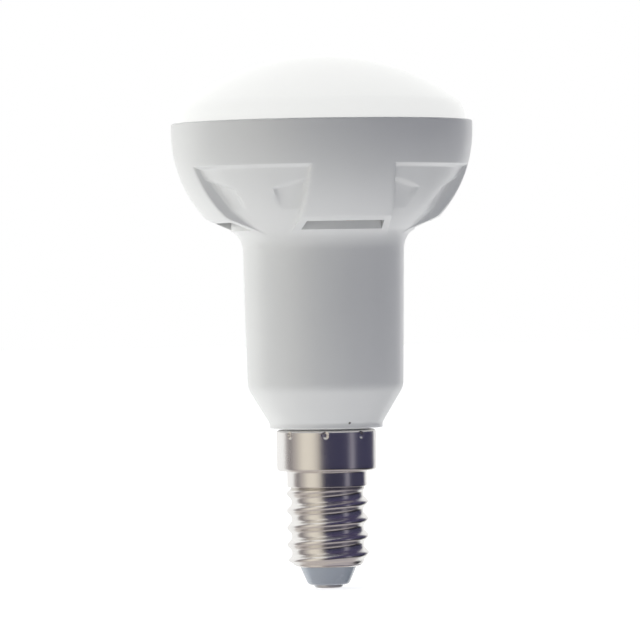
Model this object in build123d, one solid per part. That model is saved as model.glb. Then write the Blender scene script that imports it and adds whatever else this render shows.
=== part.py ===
from build123d import *
from math import radians, sqrt, tan
import os

# A reflector lamp with a moulded housing, an opal dome and a small screw cap. All sizes are in
# millimetres. The lamp stands on its centre contact with +Z up its axis, and one vent hood of the
# housing points along each of +X, +Y, -X and -Y.

# Fits
fit_gap = 0.05
seam_gap = 0.3

# Centre contact, a rivet with its head outside
contact_radius = 2.4
contact_height = 0.5
contact_edge = 0.45
rivet_radius = 0.9
clinch_radius = 1.5
clinch_height = 0.6

# Insulator, a cone below the shell and a flange inside it
insulator_tip_radius = 3.4
insulator_tip_fillet = 0.8
insulator_root_radius = 4.7
insulator_height = 3.0
insulator_flange_height = 1.4

# Screw shell, drawn from sheet
shell_wall = 0.3
hem_height = 0.8
hem_radius = 0.6
thread_minor_radius = 6.0
thread_depth = 0.8
thread_pitch = 2.822
thread_turns = 4.4
thread_start_angle = 147
thread_root_depth = 0.12
crest_share = 0.45
crest_width = 0.48
root_width = 0.84
collar_step = 0.65
collar_height = 2.7
skirt_step = 1.65
skirt_height = 6.8
skirt_edge = 0.6
crimp_count = 8
crimp_angle = 30
crimp_radius = 0.75
crimp_depth = 0.3
crimp_drop = 0.9

# Housing, neck and bowl in one moulding
housing_wall = 1.2
spigot_height = 5.6
lip_radius = 9.4
lip_height = 0.8
lip_fillet = 0.6
cone_height = 5.9
neck_bottom_radius = 12.95
neck_top_radius = 13.4
neck_height = 25.2
neck_fillet = 3.5
flare_fillet = 4.5
rim_radius = 25.0
rim_wall = 0.95
rim_edge = 0.35
rim_straight = 1.5
bowl_arc_radius = 21.2
band_height = 7.2

# Scoops between the hoods, and the shallow pockets beside each hood
scoop_height = 8.5
scoop_arc_radius = 28.3
scoop_step = 0.5
pocket_depth = 0.55
pocket_peak_drop = 0.2
pocket_slope = 16.5
pocket_half_width = 12.0
pocket_foot_half_width = 10.4
pocket_fade_rise = 1.3

# Vent hoods and the slots under them
hood_width = 13.8
hood_draft = 4.5
hood_foot_rise = 0.2
hood_underside_rise = 2.9
hood_lip = 1.4
slot_neck_gap = 1.8

# Opal dome
dome_height = 11.1
dome_side_height = 2.4
dome_shoulder = 4.0
dome_wall = 1.2
flange_height = 0.8
flange_step = 0.6
dome_skirt_height = 3.6
bead_radius = 0.35
bead_rise = 1.6

# Heat sink, a pressed plate with a conical skirt
sink_plate = 1.5
sink_wall = 1.2
sink_skirt_height = 6.8
sink_clearance = 0.8

# LED board
board_margin = 1.7
led_board_thickness = 1.6
wire_hole_radius = 2.4
led_count = 10
led_inset = 7.2
led_length = 3.5
led_width = 2.8
led_height = 0.7
led_dish_depth = 0.3
pad_radius = 5.2

# Board screws
screw_count = 3
screw_inset = 3.4
screw_angle = 18
screw_radius = 1.0
screw_head_radius = 1.9
screw_head_height = 1.1
screw_tip = 0.8
screw_slot = 0.4

# Driver board and the guides that hold its edges
driver_board_thickness = 1.2
driver_board_height = 24.0
driver_board_rise = 0.5
driver_board_margin = 0.6
guide_depth = 1.6
guide_wall = 1.1
guide_height = 21.0

# Driver components
can_gap = 0.3
can_edge = 0.6
pin_radius = 0.3
pin_bend = 0.6
pin_drop = 1.2
input_can_radius = 4.0
input_can_length = 9.0
input_can_rise = 3.6
output_can_radius = 3.15
output_can_length = 8.0
output_can_rise = 13.0
core_leg = 2.8
core_depth = 4.6
core_window = 2.4
core_window_height = 7.0
core_yoke = 1.5
core_air_gap = 0.1
bobbin_wall = 0.5
bobbin_overhang = 2.0
winding_inset = 0.2
transformer_rise = 18.0
resistor_radius = 1.2
resistor_edge = 0.4
resistor_length = 5.0
resistor_rise = 8.5
package_gap = 0.1
package_edge = 0.2
leg_thickness = 0.2
leg_width = 0.5
leg_reach = 0.9
rectifier_size = (4.7, 3.9, 2.4)
rectifier_rise = 3.6
chip_size = (4.9, 3.9, 1.5)
chip_rise = 3.6
package_offset = 4.6

# Leads
lead_radius = 0.5
lead_bend = 1.3
lead_offset = 1.3
lead_stand_off = 2.4
lead_run = 2.0
lead_spread = 6.0
lead_loop = 2.2

# Heights of the seams and edges, from the contact's face upwards
hem_level = contact_height + insulator_height
thread_level = hem_level + hem_height
collar_level = thread_level + thread_turns * thread_pitch
skirt_level = collar_level + collar_height
skirt_top_level = skirt_level + skirt_height
neck_level = skirt_top_level + seam_gap
spigot_level = neck_level - spigot_height
lip_level = neck_level + lip_height
cone_level = lip_level + cone_height
neck_top_level = cone_level + neck_height
hood_foot_level = neck_top_level + hood_foot_rise
hood_edge_level = hood_foot_level + hood_underside_rise
ledge_level = hood_edge_level + scoop_height
rim_level = ledge_level + band_height
apex_level = rim_level + dome_height
flange_level = rim_level - flange_height
sink_top_level = flange_level - dome_skirt_height
sink_seat_level = sink_top_level - sink_plate
led_board_level = sink_top_level + led_board_thickness
driver_board_level = cone_level + driver_board_rise
driver_board_top = driver_board_level + driver_board_height
insulator_top_level = hem_level + shell_wall + insulator_flange_height
contact_top_level = insulator_top_level + clinch_height

# Radii that follow from the sizes above
dome_flange_radius = rim_radius - rim_wall - fit_gap
dome_skirt_radius = dome_flange_radius - flange_step
bore_radius = dome_skirt_radius + fit_gap
thread_major_radius = thread_minor_radius + thread_depth
shell_bore_radius = thread_minor_radius - shell_wall
collar_radius = thread_minor_radius + collar_step
skirt_radius = collar_radius + skirt_step
skirt_bore_radius = skirt_radius - shell_wall
spigot_radius = skirt_bore_radius - fit_gap
led_board_radius = dome_skirt_radius - dome_wall - board_margin
screw_circle_radius = led_board_radius - screw_inset
led_circle_radius = led_board_radius - led_inset
driver_board_half = neck_bottom_radius - housing_wall - driver_board_margin

# Long enough to cut right through the lamp
reach = 2 * rim_radius
on_floor = (Align.CENTER, Align.CENTER, Align.MIN)


def bowl_radius(level, inset=0):
    """Radius of the hoods and band at a height: an arc that meets the straight rim in a tangent."""
    below = max(rim_level - rim_straight - level, 0)
    return rim_radius - bowl_arc_radius + sqrt((bowl_arc_radius - inset) ** 2 - below**2)


# The scoop's floor is an arc from the top of the neck to the foot of the band, bulging outwards
scoop_foot = Vector(neck_top_radius, neck_top_level)
scoop_top = Vector(bowl_radius(ledge_level) - scoop_step, ledge_level)
scoop_chord = scoop_top - scoop_foot
scoop_rise = sqrt(scoop_arc_radius**2 - (scoop_chord.length / 2) ** 2)
scoop_centre = (scoop_foot + scoop_top) * 0.5 + scoop_chord.normalized().rotate(Axis.Z, 90) * scoop_rise


def scoop_radius(level, inset=0):
    """Radius of the scoop's floor at a height, or of a surface inside it by an inset."""
    return scoop_centre.X + sqrt((scoop_arc_radius - inset) ** 2 - (level - scoop_centre.Y) ** 2)


# The throat runs straight up from the top of the hollow inside the scoops to the heat sink's seat
throat_level = ledge_level - housing_wall
throat_radius = scoop_radius(throat_level, housing_wall)


def outline(*lines):
    """Flat face inside lines that join end to end, given as radius and height."""
    return make_face(ShapeList(edge for line in lines for edge in line.edges()))


def arc_curve(centre, start, end):
    """Cubic curve that follows an arc counterclockwise about its centre, to within a micron."""
    turn = radians((start - centre).get_angle(end - centre))
    handle = tan(turn / 4) * 4 / 3
    leave = (start - centre).rotate(Axis.Z, 90) * handle
    arrive = (end - centre).rotate(Axis.Z, 90) * handle
    return Bezier(start, start + leave, end - arrive, end)


def rounded(face, corner, radius):
    """The face with the corner nearest to a point rounded off."""
    return fillet(face.vertices().sort_by_distance((*corner, 0))[0], radius)


def turned(face):
    """Solid of revolution about the lamp's axis of the part of a face with a positive radius."""
    half = face & Pos(reach, 0) * Rectangle(2 * reach, 4 * reach)
    return revolve(Plane.XZ * half, Axis.Z)


def disc(radius, low, high):
    """Upright cylinder on the lamp's axis between two heights."""
    return Pos(0, 0, low) * Cylinder(radius, high - low, align=on_floor)


def around(count, start, shape):
    """Copies of a shape turned evenly about the lamp's axis."""
    return [Rot(0, 0, start + 360 / count * step) * shape for step in range(count)]


def wire(radius, bend, *points):
    """Round wire along straight runs joined by tangent arcs."""
    path = FilletPolyline(*points, radius=bend)
    return sweep(Plane(path @ 0, z_dir=path % 0) * Circle(radius), path=path)


def neck_outline():
    """Outside of the neck from the cap's seam, carried straight up to the foot of the band."""
    cone_corner = (neck_bottom_radius, cone_level)
    lip_corner = (lip_radius, lip_level)
    taper = (neck_top_radius - neck_bottom_radius) / neck_height
    top = (neck_top_radius + taper * (ledge_level - neck_top_level), ledge_level)
    side = [(-reach, neck_level), (lip_radius, neck_level), lip_corner, cone_corner, top]
    face = make_face(Polyline(*side, (-reach, ledge_level), close=True))
    return rounded(rounded(face, lip_corner, lip_fillet), cone_corner, neck_fillet)


def scoop_outline(inset):
    """Area within the scoops' floor, or within a surface inside it, from inside the neck to the band."""
    within = neck_top_radius - 2 * housing_wall
    low = scoop_centre.Y - sqrt((scoop_arc_radius - inset) ** 2 - (within - scoop_centre.X) ** 2)
    high = ledge_level - inset
    floor = arc_curve(scoop_centre, Vector(within, low), Vector(scoop_radius(high, inset), high))
    return outline(floor, Polyline(floor @ 0, (-reach, low), (-reach, high), floor @ 1))


def core_outline(inset=0):
    """Neck and scoops together with the flare between them, or a surface inside them by an inset."""
    neck = offset(neck_outline(), -inset) if inset else neck_outline()
    flare = (neck_top_radius - inset, neck_top_level)
    return rounded(neck + scoop_outline(inset), flare, flare_fillet + inset)


def bowl_curve(inset, low):
    """Side of the bowl from a height up to the rim's straight part, inside it by an inset."""
    high = rim_level - rim_straight
    centre = Vector(rim_radius - bowl_arc_radius, high)
    start = Vector(bowl_radius(low, inset), low)
    return arc_curve(centre, start, Vector(bowl_radius(high, inset), high))


def bowl_outline():
    """Outside of the band and the hoods, down to the slanted underside of the hoods."""
    side = bowl_curve(0, hood_edge_level)
    foot = (neck_top_radius, hood_foot_level)
    top = Polyline((-reach, hood_foot_level), (-reach, rim_level), (rim_radius, rim_level), side @ 1)
    underside = Polyline(side @ 0, foot, (-reach, hood_foot_level))
    return rounded(outline(top, side, underside), (rim_radius, rim_level), rim_edge)


def hollow_outline():
    """Inside of the hoods: one wall within the bowl's arc and above the slanted underside."""
    side = bowl_curve(housing_wall, hood_foot_level)
    low = (-reach, hood_foot_level)
    high = (-reach, rim_level - rim_straight)
    within = outline(side, Polyline(side @ 0, low, high, side @ 1))
    foot = Vector(neck_top_radius, hood_foot_level)
    edge = Vector(bowl_radius(hood_edge_level), hood_edge_level)
    underside = Plane(foot, x_dir=edge - foot, z_dir=(0, 0, 1))
    above = Pos(0, housing_wall) * Rectangle(2 * reach, reach, align=(Align.CENTER, Align.MIN))
    return within & underside * above


def hood_half_width(radius, inset):
    """Half the width of a hood at a distance from the axis, less a wall."""
    return hood_width / 2 + (rim_radius - radius) * tan(radians(hood_draft)) - inset


def hood_prisms(inset, inner, outer, low, high):
    """Four upright wedges, one on each hood, between two radii and two heights."""
    inner_half = hood_half_width(inner, inset)
    outer_half = hood_half_width(outer, inset)
    left_edge = [(inner, -inner_half), (outer, -outer_half)]
    right_edge = [(outer, outer_half), (inner, inner_half)]
    plan = make_face(Polyline(*left_edge, *right_edge, close=True))
    wedge = Pos(0, 0, low) * extrude(plan, high - low)
    return Part() + around(4, 0, wedge)


def hood_pockets():
    """Shallow recesses beside each hood: a ring that fades downwards, kept under a gable."""
    peak = ledge_level - pocket_peak_drop
    eaves = peak - pocket_half_width * tan(radians(pocket_slope))
    foot = hood_edge_level + pocket_fade_rise
    deep = (scoop_radius(peak) - pocket_depth, peak)
    ring = Polyline((scoop_radius(foot), foot), deep, (reach, peak), (reach, foot), close=True)
    half_gable = [(pocket_half_width, eaves), (pocket_foot_half_width, foot)]
    other_half = [(-across, level) for across, level in reversed(half_gable)]
    gable = make_face(Polyline((0, peak), *half_gable, *other_half, close=True))
    beside = extrude(Plane.YZ * gable, reach)
    return Part() + around(4, 0, turned(make_face(ring)) & beside)


def board_guides(core):
    """Two grooved blocks on the wall of the neck that hold the driver board's edges."""
    low = driver_board_level - guide_wall
    inner = driver_board_half - guide_depth
    half = driver_board_thickness / 2 + fit_gap
    block = Box(reach, 2 * (half + guide_wall), guide_height + guide_wall, align=on_floor)
    middle = Box(2 * inner, reach, guide_height + guide_wall, align=on_floor)
    groove = Box(2 * (driver_board_half + fit_gap), 2 * half, reach, align=on_floor)
    blocks = (Pos(0, 0, low) * (block - middle)) & core
    return blocks - Pos(0, 0, driver_board_level) * groove


def make_housing():
    """Moulded bowl and neck, hollow, with four vented hoods and a spigot for the cap."""
    solid_core = turned(core_outline())
    raised = disc(reach, ledge_level, rim_level) + hood_prisms(0, 0, reach, hood_foot_level, ledge_level)
    housing = solid_core - hood_pockets() + (turned(bowl_outline()) & raised)
    housing += disc(spigot_radius, spigot_level, neck_level)
    housing -= turned(core_outline(housing_wall))
    housing -= disc(spigot_radius - housing_wall, spigot_level, lip_level + housing_wall)
    housing -= disc(throat_radius, throat_level, sink_seat_level)
    hollow_top = sink_seat_level - housing_wall
    hollows = hood_prisms(housing_wall, 0, reach, hood_foot_level, hollow_top)
    housing -= turned(hollow_outline()) & hollows
    slot_inner = neck_top_radius + slot_neck_gap
    slot_outer = bowl_radius(hood_edge_level) - hood_lip
    slot_low = neck_top_level - housing_wall
    slot_top = hood_edge_level + housing_wall
    slot_ring = disc(slot_outer, slot_low, slot_top) - disc(slot_inner, slot_low, slot_top)
    housing -= slot_ring & hood_prisms(housing_wall, 0, reach, slot_low, slot_top)
    housing -= disc(bore_radius, sink_seat_level, rim_level)
    housing -= disc(dome_flange_radius + fit_gap, flange_level, rim_level)
    housing -= snap_bead(fit_gap)
    housing -= crimp_groove()
    return housing + board_guides(solid_core)


def crimp_groove():
    """Groove round the spigot that the crimps of the cap bite into."""
    level = skirt_top_level - crimp_drop
    depth = crimp_depth + fit_gap
    half = crimp_radius + 2 * fit_gap
    low = level - half
    high = level + half
    return disc(reach, low, high) - disc(spigot_radius - depth, low, high)


def snap_bead(gap):
    """Ring on the dome's skirt that snaps into the rim, or its groove when grown by a gap."""
    level = sink_top_level + bead_rise
    centre = Plane.XZ * Pos(dome_skirt_radius - bead_radius / 2, level)
    return revolve(centre * Circle(bead_radius + gap), Axis.Z)


def make_dome():
    """Opal dome: a shallow cap with a round shoulder, a flange on the rim and a skirt inside it."""
    half_chord = dome_flange_radius
    corner = (half_chord, rim_level + dome_side_height)
    other_corner = (-half_chord, rim_level + dome_side_height)
    cap = ThreePointArc(other_corner, (0, apex_level), corner)
    foot = Polyline(corner, (half_chord, flange_level), (-half_chord, flange_level), other_corner)
    face = rounded(outline(cap, foot), corner, dome_shoulder)
    face = rounded(face, other_corner, dome_shoulder)
    dome = turned(face) + disc(dome_skirt_radius, sink_top_level, flange_level) + snap_bead(0)
    inside = turned(offset(face, -dome_wall))
    well = disc(dome_skirt_radius - dome_wall, sink_top_level, flange_level + 2 * dome_wall)
    return dome - inside - well


def make_screw_shell():
    """Drawn cap shell: hem, rolled thread, collar, skirt and a ring of crimps."""
    hem_corner = (thread_minor_radius, hem_level)
    hem_points = [(0, hem_level), hem_corner, (thread_minor_radius, thread_level), (0, thread_level)]
    hem = make_face(Polyline(*hem_points, close=True))
    skirt_corner = (skirt_radius, skirt_level)
    upper_points = [(0, collar_level), (collar_radius, collar_level), (collar_radius, skirt_level)]
    skirt_points = [skirt_corner, (skirt_radius, skirt_top_level), (0, skirt_top_level)]
    upper = make_face(Polyline(*upper_points, *skirt_points, close=True))
    shell = threaded_rod() + turned(rounded(hem, hem_corner, hem_radius))
    shell += turned(rounded(upper, skirt_corner, skirt_edge))
    shell -= disc(insulator_root_radius + fit_gap, hem_level, hem_level + shell_wall)
    shell -= disc(shell_bore_radius, hem_level + shell_wall, collar_level)
    shell -= disc(collar_radius - shell_wall, collar_level, skirt_level + shell_wall)
    shell -= disc(skirt_bore_radius, skirt_level + shell_wall, skirt_top_level)
    punches = Part() + around(crimp_count, crimp_angle, crimp_ball(crimp_radius))
    dents = Part() + around(crimp_count, crimp_angle, crimp_ball(crimp_radius - shell_wall))
    return shell + (punches & disc(skirt_radius, skirt_level, skirt_top_level)) - dents


def crimp_ball(radius):
    """Ball of one crimp, set so that it dents the skirt's wall inwards."""
    inward = skirt_bore_radius - crimp_depth + crimp_radius
    return Pos(inward, 0, skirt_top_level - crimp_drop) * Sphere(radius)


def threaded_rod():
    """Rolled thread: a round ridge swept along a right-hand helix on a rod, cut to length.

    The ridge fades out at the hem and runs into the collar."""
    root = thread_minor_radius - thread_root_depth
    flank = thread_minor_radius + thread_depth * crest_share
    crest_half = thread_pitch * crest_width / 2
    root_half = thread_pitch * root_width / 2
    crest = ThreePointArc((flank, -crest_half), (thread_major_radius, 0), (flank, crest_half))
    base = Polyline((flank, crest_half), (root, root_half), (root, -root_half), (flank, -crest_half))
    helix = Helix(thread_pitch, collar_level - thread_level, thread_minor_radius)
    ridge = sweep(Plane.XZ * outline(crest, base), path=helix, is_frenet=True)
    rod = disc(thread_minor_radius, thread_level - 2 * thread_pitch, collar_level + 2 * thread_pitch)
    threaded = rod + Pos(0, 0, thread_level) * Rot(0, 0, thread_start_angle) * ridge
    clear = thread_major_radius + thread_depth
    fade = Polyline(
        (0, thread_level),
        (thread_minor_radius + fit_gap, thread_level),
        (clear, thread_level + thread_pitch),
        (clear, collar_level),
        (0, collar_level),
        close=True,
    )
    return threaded & turned(make_face(fade))


def make_insulator():
    """Insulating cone that stands out of the shell, with a flange on the hem inside."""
    flange_radius = shell_bore_radius - fit_gap
    flange_low = hem_level + shell_wall
    side = Polyline(
        (0, contact_height),
        (insulator_tip_radius, contact_height),
        (insulator_root_radius, hem_level),
        (insulator_root_radius, flange_low),
        (flange_radius, flange_low),
        (flange_radius, insulator_top_level),
        (0, insulator_top_level),
        close=True,
    )
    face = rounded(make_face(side), (insulator_tip_radius, contact_height), insulator_tip_fillet)
    return turned(face) - disc(rivet_radius + fit_gap, 0, insulator_top_level)


def make_contact():
    """Centre contact: a low domed head, a shank through the insulator and a clinched end."""
    head = disc(contact_radius, 0, contact_height)
    head = fillet(head.edges().group_by(Axis.Z)[0], contact_edge)
    shank = disc(rivet_radius, 0, contact_top_level)
    return head + shank + disc(clinch_radius, insulator_top_level, contact_top_level)


def make_heat_sink():
    """Pressed plate that seats on the ledge under the rim, with a conical skirt below."""
    foot_level = sink_seat_level - sink_skirt_height
    top_radius = throat_radius - sink_clearance
    foot_radius = scoop_radius(foot_level) - 2 * housing_wall - sink_clearance
    skirt = Polyline(
        (top_radius - sink_wall, sink_seat_level),
        (top_radius, sink_seat_level),
        (foot_radius, foot_level),
        (foot_radius - sink_wall, foot_level),
        close=True,
    )
    sink = disc(bore_radius - fit_gap, sink_seat_level, sink_top_level) + turned(make_face(skirt))
    return sink - board_holes()


def board_holes():
    """Wire hole and screw holes through the heat sink and the LED board."""
    hole = disc(screw_radius + fit_gap, sink_seat_level, led_board_level)
    holes = around(screw_count, screw_angle, Pos(screw_circle_radius, 0) * hole)
    return Part() + [disc(wire_hole_radius, sink_seat_level, led_board_level), *holes]


def make_led_board():
    """Round board of metal-backed laminate on top of the heat sink."""
    return disc(led_board_radius, sink_top_level, led_board_level) - board_holes()


def make_leds():
    """Ring of LED packages, each a low block with a shallow dish."""
    block = Box(led_width, led_length, led_height, align=on_floor)
    dish_radius = led_width / 2 - led_dish_depth
    dish = Cone(dish_radius - led_dish_depth, dish_radius, led_dish_depth, align=on_floor)
    package = block - Pos(0, 0, led_height - led_dish_depth) * dish
    placed = Pos(led_circle_radius, 0, led_board_level) * package
    return Compound(children=around(led_count, 0, placed))


def make_screws():
    """Pan-head screws through the LED board into the heat sink."""
    shank = disc(screw_radius, sink_seat_level - screw_tip, led_board_level)
    head = disc(screw_head_radius, led_board_level, led_board_level + screw_head_height)
    head = fillet(head.edges().group_by(Axis.Z)[-1], screw_head_height / 2)
    bar = Box(2 * screw_radius, screw_slot, screw_slot, align=on_floor)
    cross = Pos(0, 0, led_board_level + screw_head_height - screw_slot) * (bar + Rot(0, 0, 90) * bar)
    screw = Pos(screw_circle_radius, 0) * (shank + head - cross)
    return Compound(children=around(screw_count, screw_angle, screw))


def make_driver_board():
    """Upright board in the neck, held by its two long edges."""
    board = Box(2 * driver_board_half, driver_board_thickness, driver_board_height, align=on_floor)
    return Pos(0, 0, driver_board_level) * board


def board_face(side, across, rise):
    """Plane on one face of the driver board: its own Y is up the board, its Z stands off the face."""
    origin = (across, side * driver_board_thickness / 2, driver_board_level + rise)
    return Plane(origin, x_dir=(-side, 0, 0), z_dir=(0, side, 0))


def capacitor(seat, radius, length):
    """Can that lies along the board with its two pins bent into it."""
    stand = radius + can_gap
    can = extrude(Plane.XZ * Pos(0, stand) * Circle(radius), -length)
    can = fillet(can.edges(), can_edge)
    for across in (-radius / 2, radius / 2):
        run = [(across, pin_drop, stand), (across, -pin_drop, stand), (across, -pin_drop, 0)]
        can += wire(pin_radius, pin_bend, *run)
    return seat * can


def make_fuse_resistor():
    """Small axial resistor that lies along the board on its two bent pins."""
    stand = resistor_radius + can_gap
    half = resistor_length / 2
    body = extrude(Plane.XZ * Pos(0, stand) * Circle(resistor_radius), half, both=True)
    body = fillet(body.edges(), resistor_edge)
    ends = half + pin_drop
    run = [(0, -ends, 0), (0, -ends, stand), (0, ends, stand), (0, ends, 0)]
    return board_face(-1, 0, resistor_rise) * (body + wire(pin_radius, pin_bend, *run))


def e_core_half():
    """Half of the transformer's core, an E laid on its back, above the plane where the halves meet."""
    width = core_leg + 2 * core_window + core_leg
    height = core_window_height / 2 + core_yoke
    upward = (Align.CENTER, Align.MIN, Align.CENTER)
    bar = Box(width, height, core_depth, align=upward)
    window = Box(core_window, core_window_height / 2, core_depth, align=upward)
    offset_x = (core_leg + core_window) / 2
    half = bar - Pos(offset_x, 0) * window - Pos(-offset_x, 0) * window
    return Pos(0, core_air_gap / 2) * half


def transformer_plane():
    """Middle of the transformer's winding, in front of the driver board."""
    return board_face(1, 0, transformer_rise) * Pos(0, 0, core_depth / 2 + bobbin_overhang)


def make_transformer_core():
    """Two ferrite halves that meet in the middle of the winding."""
    half = e_core_half()
    return Compound(children=[transformer_plane() * half, transformer_plane() * mirror(half, Plane.XZ)])


def leg_box(growth, height):
    """Upright box round the core's middle leg, larger than it by a growth on each side."""
    return Box(core_leg + 2 * growth, height, core_depth + 2 * growth)


def make_transformer_bobbin():
    """Former on the core's middle leg, with a flange at each end of the window."""
    height = core_window_height - 2 * fit_gap
    flange = Box(core_leg + 2 * core_window - 2 * fit_gap, bobbin_wall, core_depth + 2 * bobbin_overhang)
    shift = (height - bobbin_wall) / 2
    bobbin = leg_box(fit_gap + bobbin_wall, height) + Pos(0, shift) * flange + Pos(0, -shift) * flange
    return transformer_plane() * (bobbin - leg_box(fit_gap, height))


def make_transformer_winding():
    """Taped winding that fills the former between its flanges."""
    height = core_window_height - 2 * bobbin_wall - 4 * fit_gap
    growth = min(core_window, bobbin_overhang) - winding_inset - fit_gap
    winding = fillet(leg_box(growth, height).edges().filter_by(Axis.Y), growth / 2)
    return transformer_plane() * (winding - leg_box(2 * fit_gap + bobbin_wall, height))


def flat_package(size, leg_rows):
    """Moulded package with bent legs along two sides, standing on the plane z = 0."""
    length, width, height = size
    body = Pos(0, 0, package_gap) * Box(length, width, height, align=on_floor)
    body = chamfer(body.faces().sort_by(Axis.Z)[-1].edges(), package_edge)
    shoulder = package_gap + height / 2
    inner = width / 2 - leg_thickness
    bend = width / 2 + leg_reach / 2
    foot = width / 2 + leg_reach
    upper = [(inner, shoulder + leg_thickness), (bend, shoulder + leg_thickness), (bend, leg_thickness)]
    sole = [(foot, leg_thickness), (foot, 0), (bend - leg_thickness, 0)]
    lower = [(bend - leg_thickness, shoulder), (inner, shoulder)]
    side = make_face(Polyline(*upper, *sole, *lower, close=True))
    leg = extrude(Plane.YZ * side, leg_width / 2, both=True)
    spacing = length / leg_rows
    for step in range(leg_rows):
        along = Pos((step + 0.5) * spacing - length / 2, 0)
        body += along * leg
        body += along * Rot(0, 0, 180) * leg
    return body


def make_rectifier():
    """Bridge rectifier on the back of the driver board."""
    return board_face(-1, -package_offset, rectifier_rise) * flat_package(rectifier_size, 2)


def make_chip():
    """Driver chip on the back of the driver board."""
    return board_face(-1, package_offset, chip_rise) * flat_package(chip_size, 4)


def led_lead(side):
    """Lead from the driver board up through the heat sink to a pad on the LED board."""
    face = driver_board_thickness / 2
    out = face + lead_stand_off
    start = driver_board_top - lead_stand_off
    foot = sink_seat_level - sink_skirt_height
    loop = led_board_level + lead_loop
    return wire(
        lead_radius,
        lead_bend,
        (side * lead_spread, face, start),
        (side * lead_spread, out, start),
        (side * lead_spread, out, driver_board_top + lead_stand_off),
        (side * lead_offset, 0, foot),
        (side * lead_offset, 0, loop),
        (side * pad_radius, 0, loop),
        (side * pad_radius, 0, led_board_level),
    )


def board_foot_run(side):
    """Last points of a supply lead, up beside the driver board's foot and onto its face."""
    face = driver_board_thickness / 2
    out = face + lead_stand_off
    start = driver_board_level + lead_stand_off
    below = driver_board_level - lead_stand_off
    across = side * lead_spread
    return [(across, out, below), (across, out, start), (across, face, start)]


def make_live_lead():
    """Lead from the clinched end of the centre contact to the driver board."""
    return wire(lead_radius, lead_bend, (0, 0, contact_top_level), (0, 0, skirt_level), *board_foot_run(1))


def make_neutral_lead():
    """Lead from the wall of the cap's collar to the driver board."""
    level = (collar_level + skirt_level) / 2
    wall = collar_radius - shell_wall - fit_gap
    rise = wall - lead_run
    return wire(
        lead_radius,
        lead_bend,
        (-wall, 0, level),
        (-rise, 0, level),
        (-rise, 0, neck_level),
        *board_foot_run(-1),
    )


nodes = {
    "diffuser_dome": make_dome(),
    "housing": make_housing(),
    "screw_shell": make_screw_shell(),
    "cap_insulator": make_insulator(),
    "centre_contact": make_contact(),
    "heat_sink": make_heat_sink(),
    "led_board": make_led_board(),
    "led_packages": make_leds(),
    "board_screws": make_screws(),
    "driver_board": make_driver_board(),
    "input_capacitor": capacitor(board_face(1, 0, input_can_rise), input_can_radius, input_can_length),
    "output_capacitor": capacitor(board_face(-1, 0, output_can_rise), output_can_radius, output_can_length),
    "transformer_core": make_transformer_core(),
    "transformer_bobbin": make_transformer_bobbin(),
    "transformer_winding": make_transformer_winding(),
    "bridge_rectifier": make_rectifier(),
    "driver_chip": make_chip(),
    "fuse_resistor": make_fuse_resistor(),
    "positive_lead": led_lead(1),
    "negative_lead": led_lead(-1),
    "live_lead": make_live_lead(),
    "neutral_lead": make_neutral_lead(),
}

os.makedirs("parts", exist_ok=True)
for name, shape in nodes.items():
    export_step(shape, f"parts/{name}.step")
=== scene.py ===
import math

import bpy
import numpy as np
from mathutils import Matrix, Vector


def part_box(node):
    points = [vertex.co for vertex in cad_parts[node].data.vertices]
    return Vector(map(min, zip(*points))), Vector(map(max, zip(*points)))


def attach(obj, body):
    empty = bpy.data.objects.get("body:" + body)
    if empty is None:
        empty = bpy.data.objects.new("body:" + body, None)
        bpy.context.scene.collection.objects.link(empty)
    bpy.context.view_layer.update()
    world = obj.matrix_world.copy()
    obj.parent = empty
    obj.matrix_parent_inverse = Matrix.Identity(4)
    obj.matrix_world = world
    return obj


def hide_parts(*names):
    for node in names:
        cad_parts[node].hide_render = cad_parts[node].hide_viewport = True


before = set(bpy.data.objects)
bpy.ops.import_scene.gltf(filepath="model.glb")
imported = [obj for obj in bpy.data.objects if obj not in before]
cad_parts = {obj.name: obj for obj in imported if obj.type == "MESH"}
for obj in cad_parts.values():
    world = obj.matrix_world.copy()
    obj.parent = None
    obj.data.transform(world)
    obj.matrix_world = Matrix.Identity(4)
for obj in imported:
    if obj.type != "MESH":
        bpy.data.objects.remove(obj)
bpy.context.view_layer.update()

bl_info = {
    "name": "Reflector lamp",
    "version": (1, 0, 0),
    "blender": (4, 5, 0),
    "location": "3D View > Sidebar > Lamp",
    "description": "Builds the visible pieces of a reflector lamp with its materials and its studio",
    "category": "Object",
}

# Finishes inside the lamp: colour, roughness and metallic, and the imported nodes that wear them
INNER_FINISHES = {
    "pressed_aluminium": ((0.5, 0.51, 0.5), 0.5, 1.0, ["heat_sink"]),
    "white_laminate": ((0.84, 0.84, 0.82), 0.35, 0.0, ["led_board"]),
    "phosphor": ((0.85, 0.7, 0.16), 0.4, 0.0, ["led_packages"]),
    "zinc_screw": ((0.66, 0.66, 0.62), 0.34, 1.0, ["board_screws"]),
    "green_laminate": ((0.05, 0.23, 0.1), 0.35, 0.0, ["driver_board"]),
    "capacitor_sleeve": ((0.03, 0.035, 0.06), 0.3, 0.0, ["input_capacitor", "output_capacitor"]),
    "ferrite": ((0.06, 0.06, 0.065), 0.55, 0.0, ["transformer_core"]),
    "black_moulding": (
        (0.026, 0.026, 0.028), 0.45, 0.0, ["transformer_bobbin", "bridge_rectifier", "driver_chip"]
    ),
    "winding_tape": ((0.74, 0.54, 0.08), 0.35, 0.0, ["transformer_winding"]),
    "resistor_coat": ((0.12, 0.3, 0.42), 0.35, 0.0, ["fuse_resistor"]),
    "red_sleeve": ((0.55, 0.03, 0.03), 0.4, 0.0, ["positive_lead", "live_lead"]),
    "black_sleeve": ((0.022, 0.022, 0.022), 0.4, 0.0, ["negative_lead", "neutral_lead"]),
}

# Rounding of edges that lie inside the lamp, in metres
HIDDEN_EDGE = 0.0001

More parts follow.
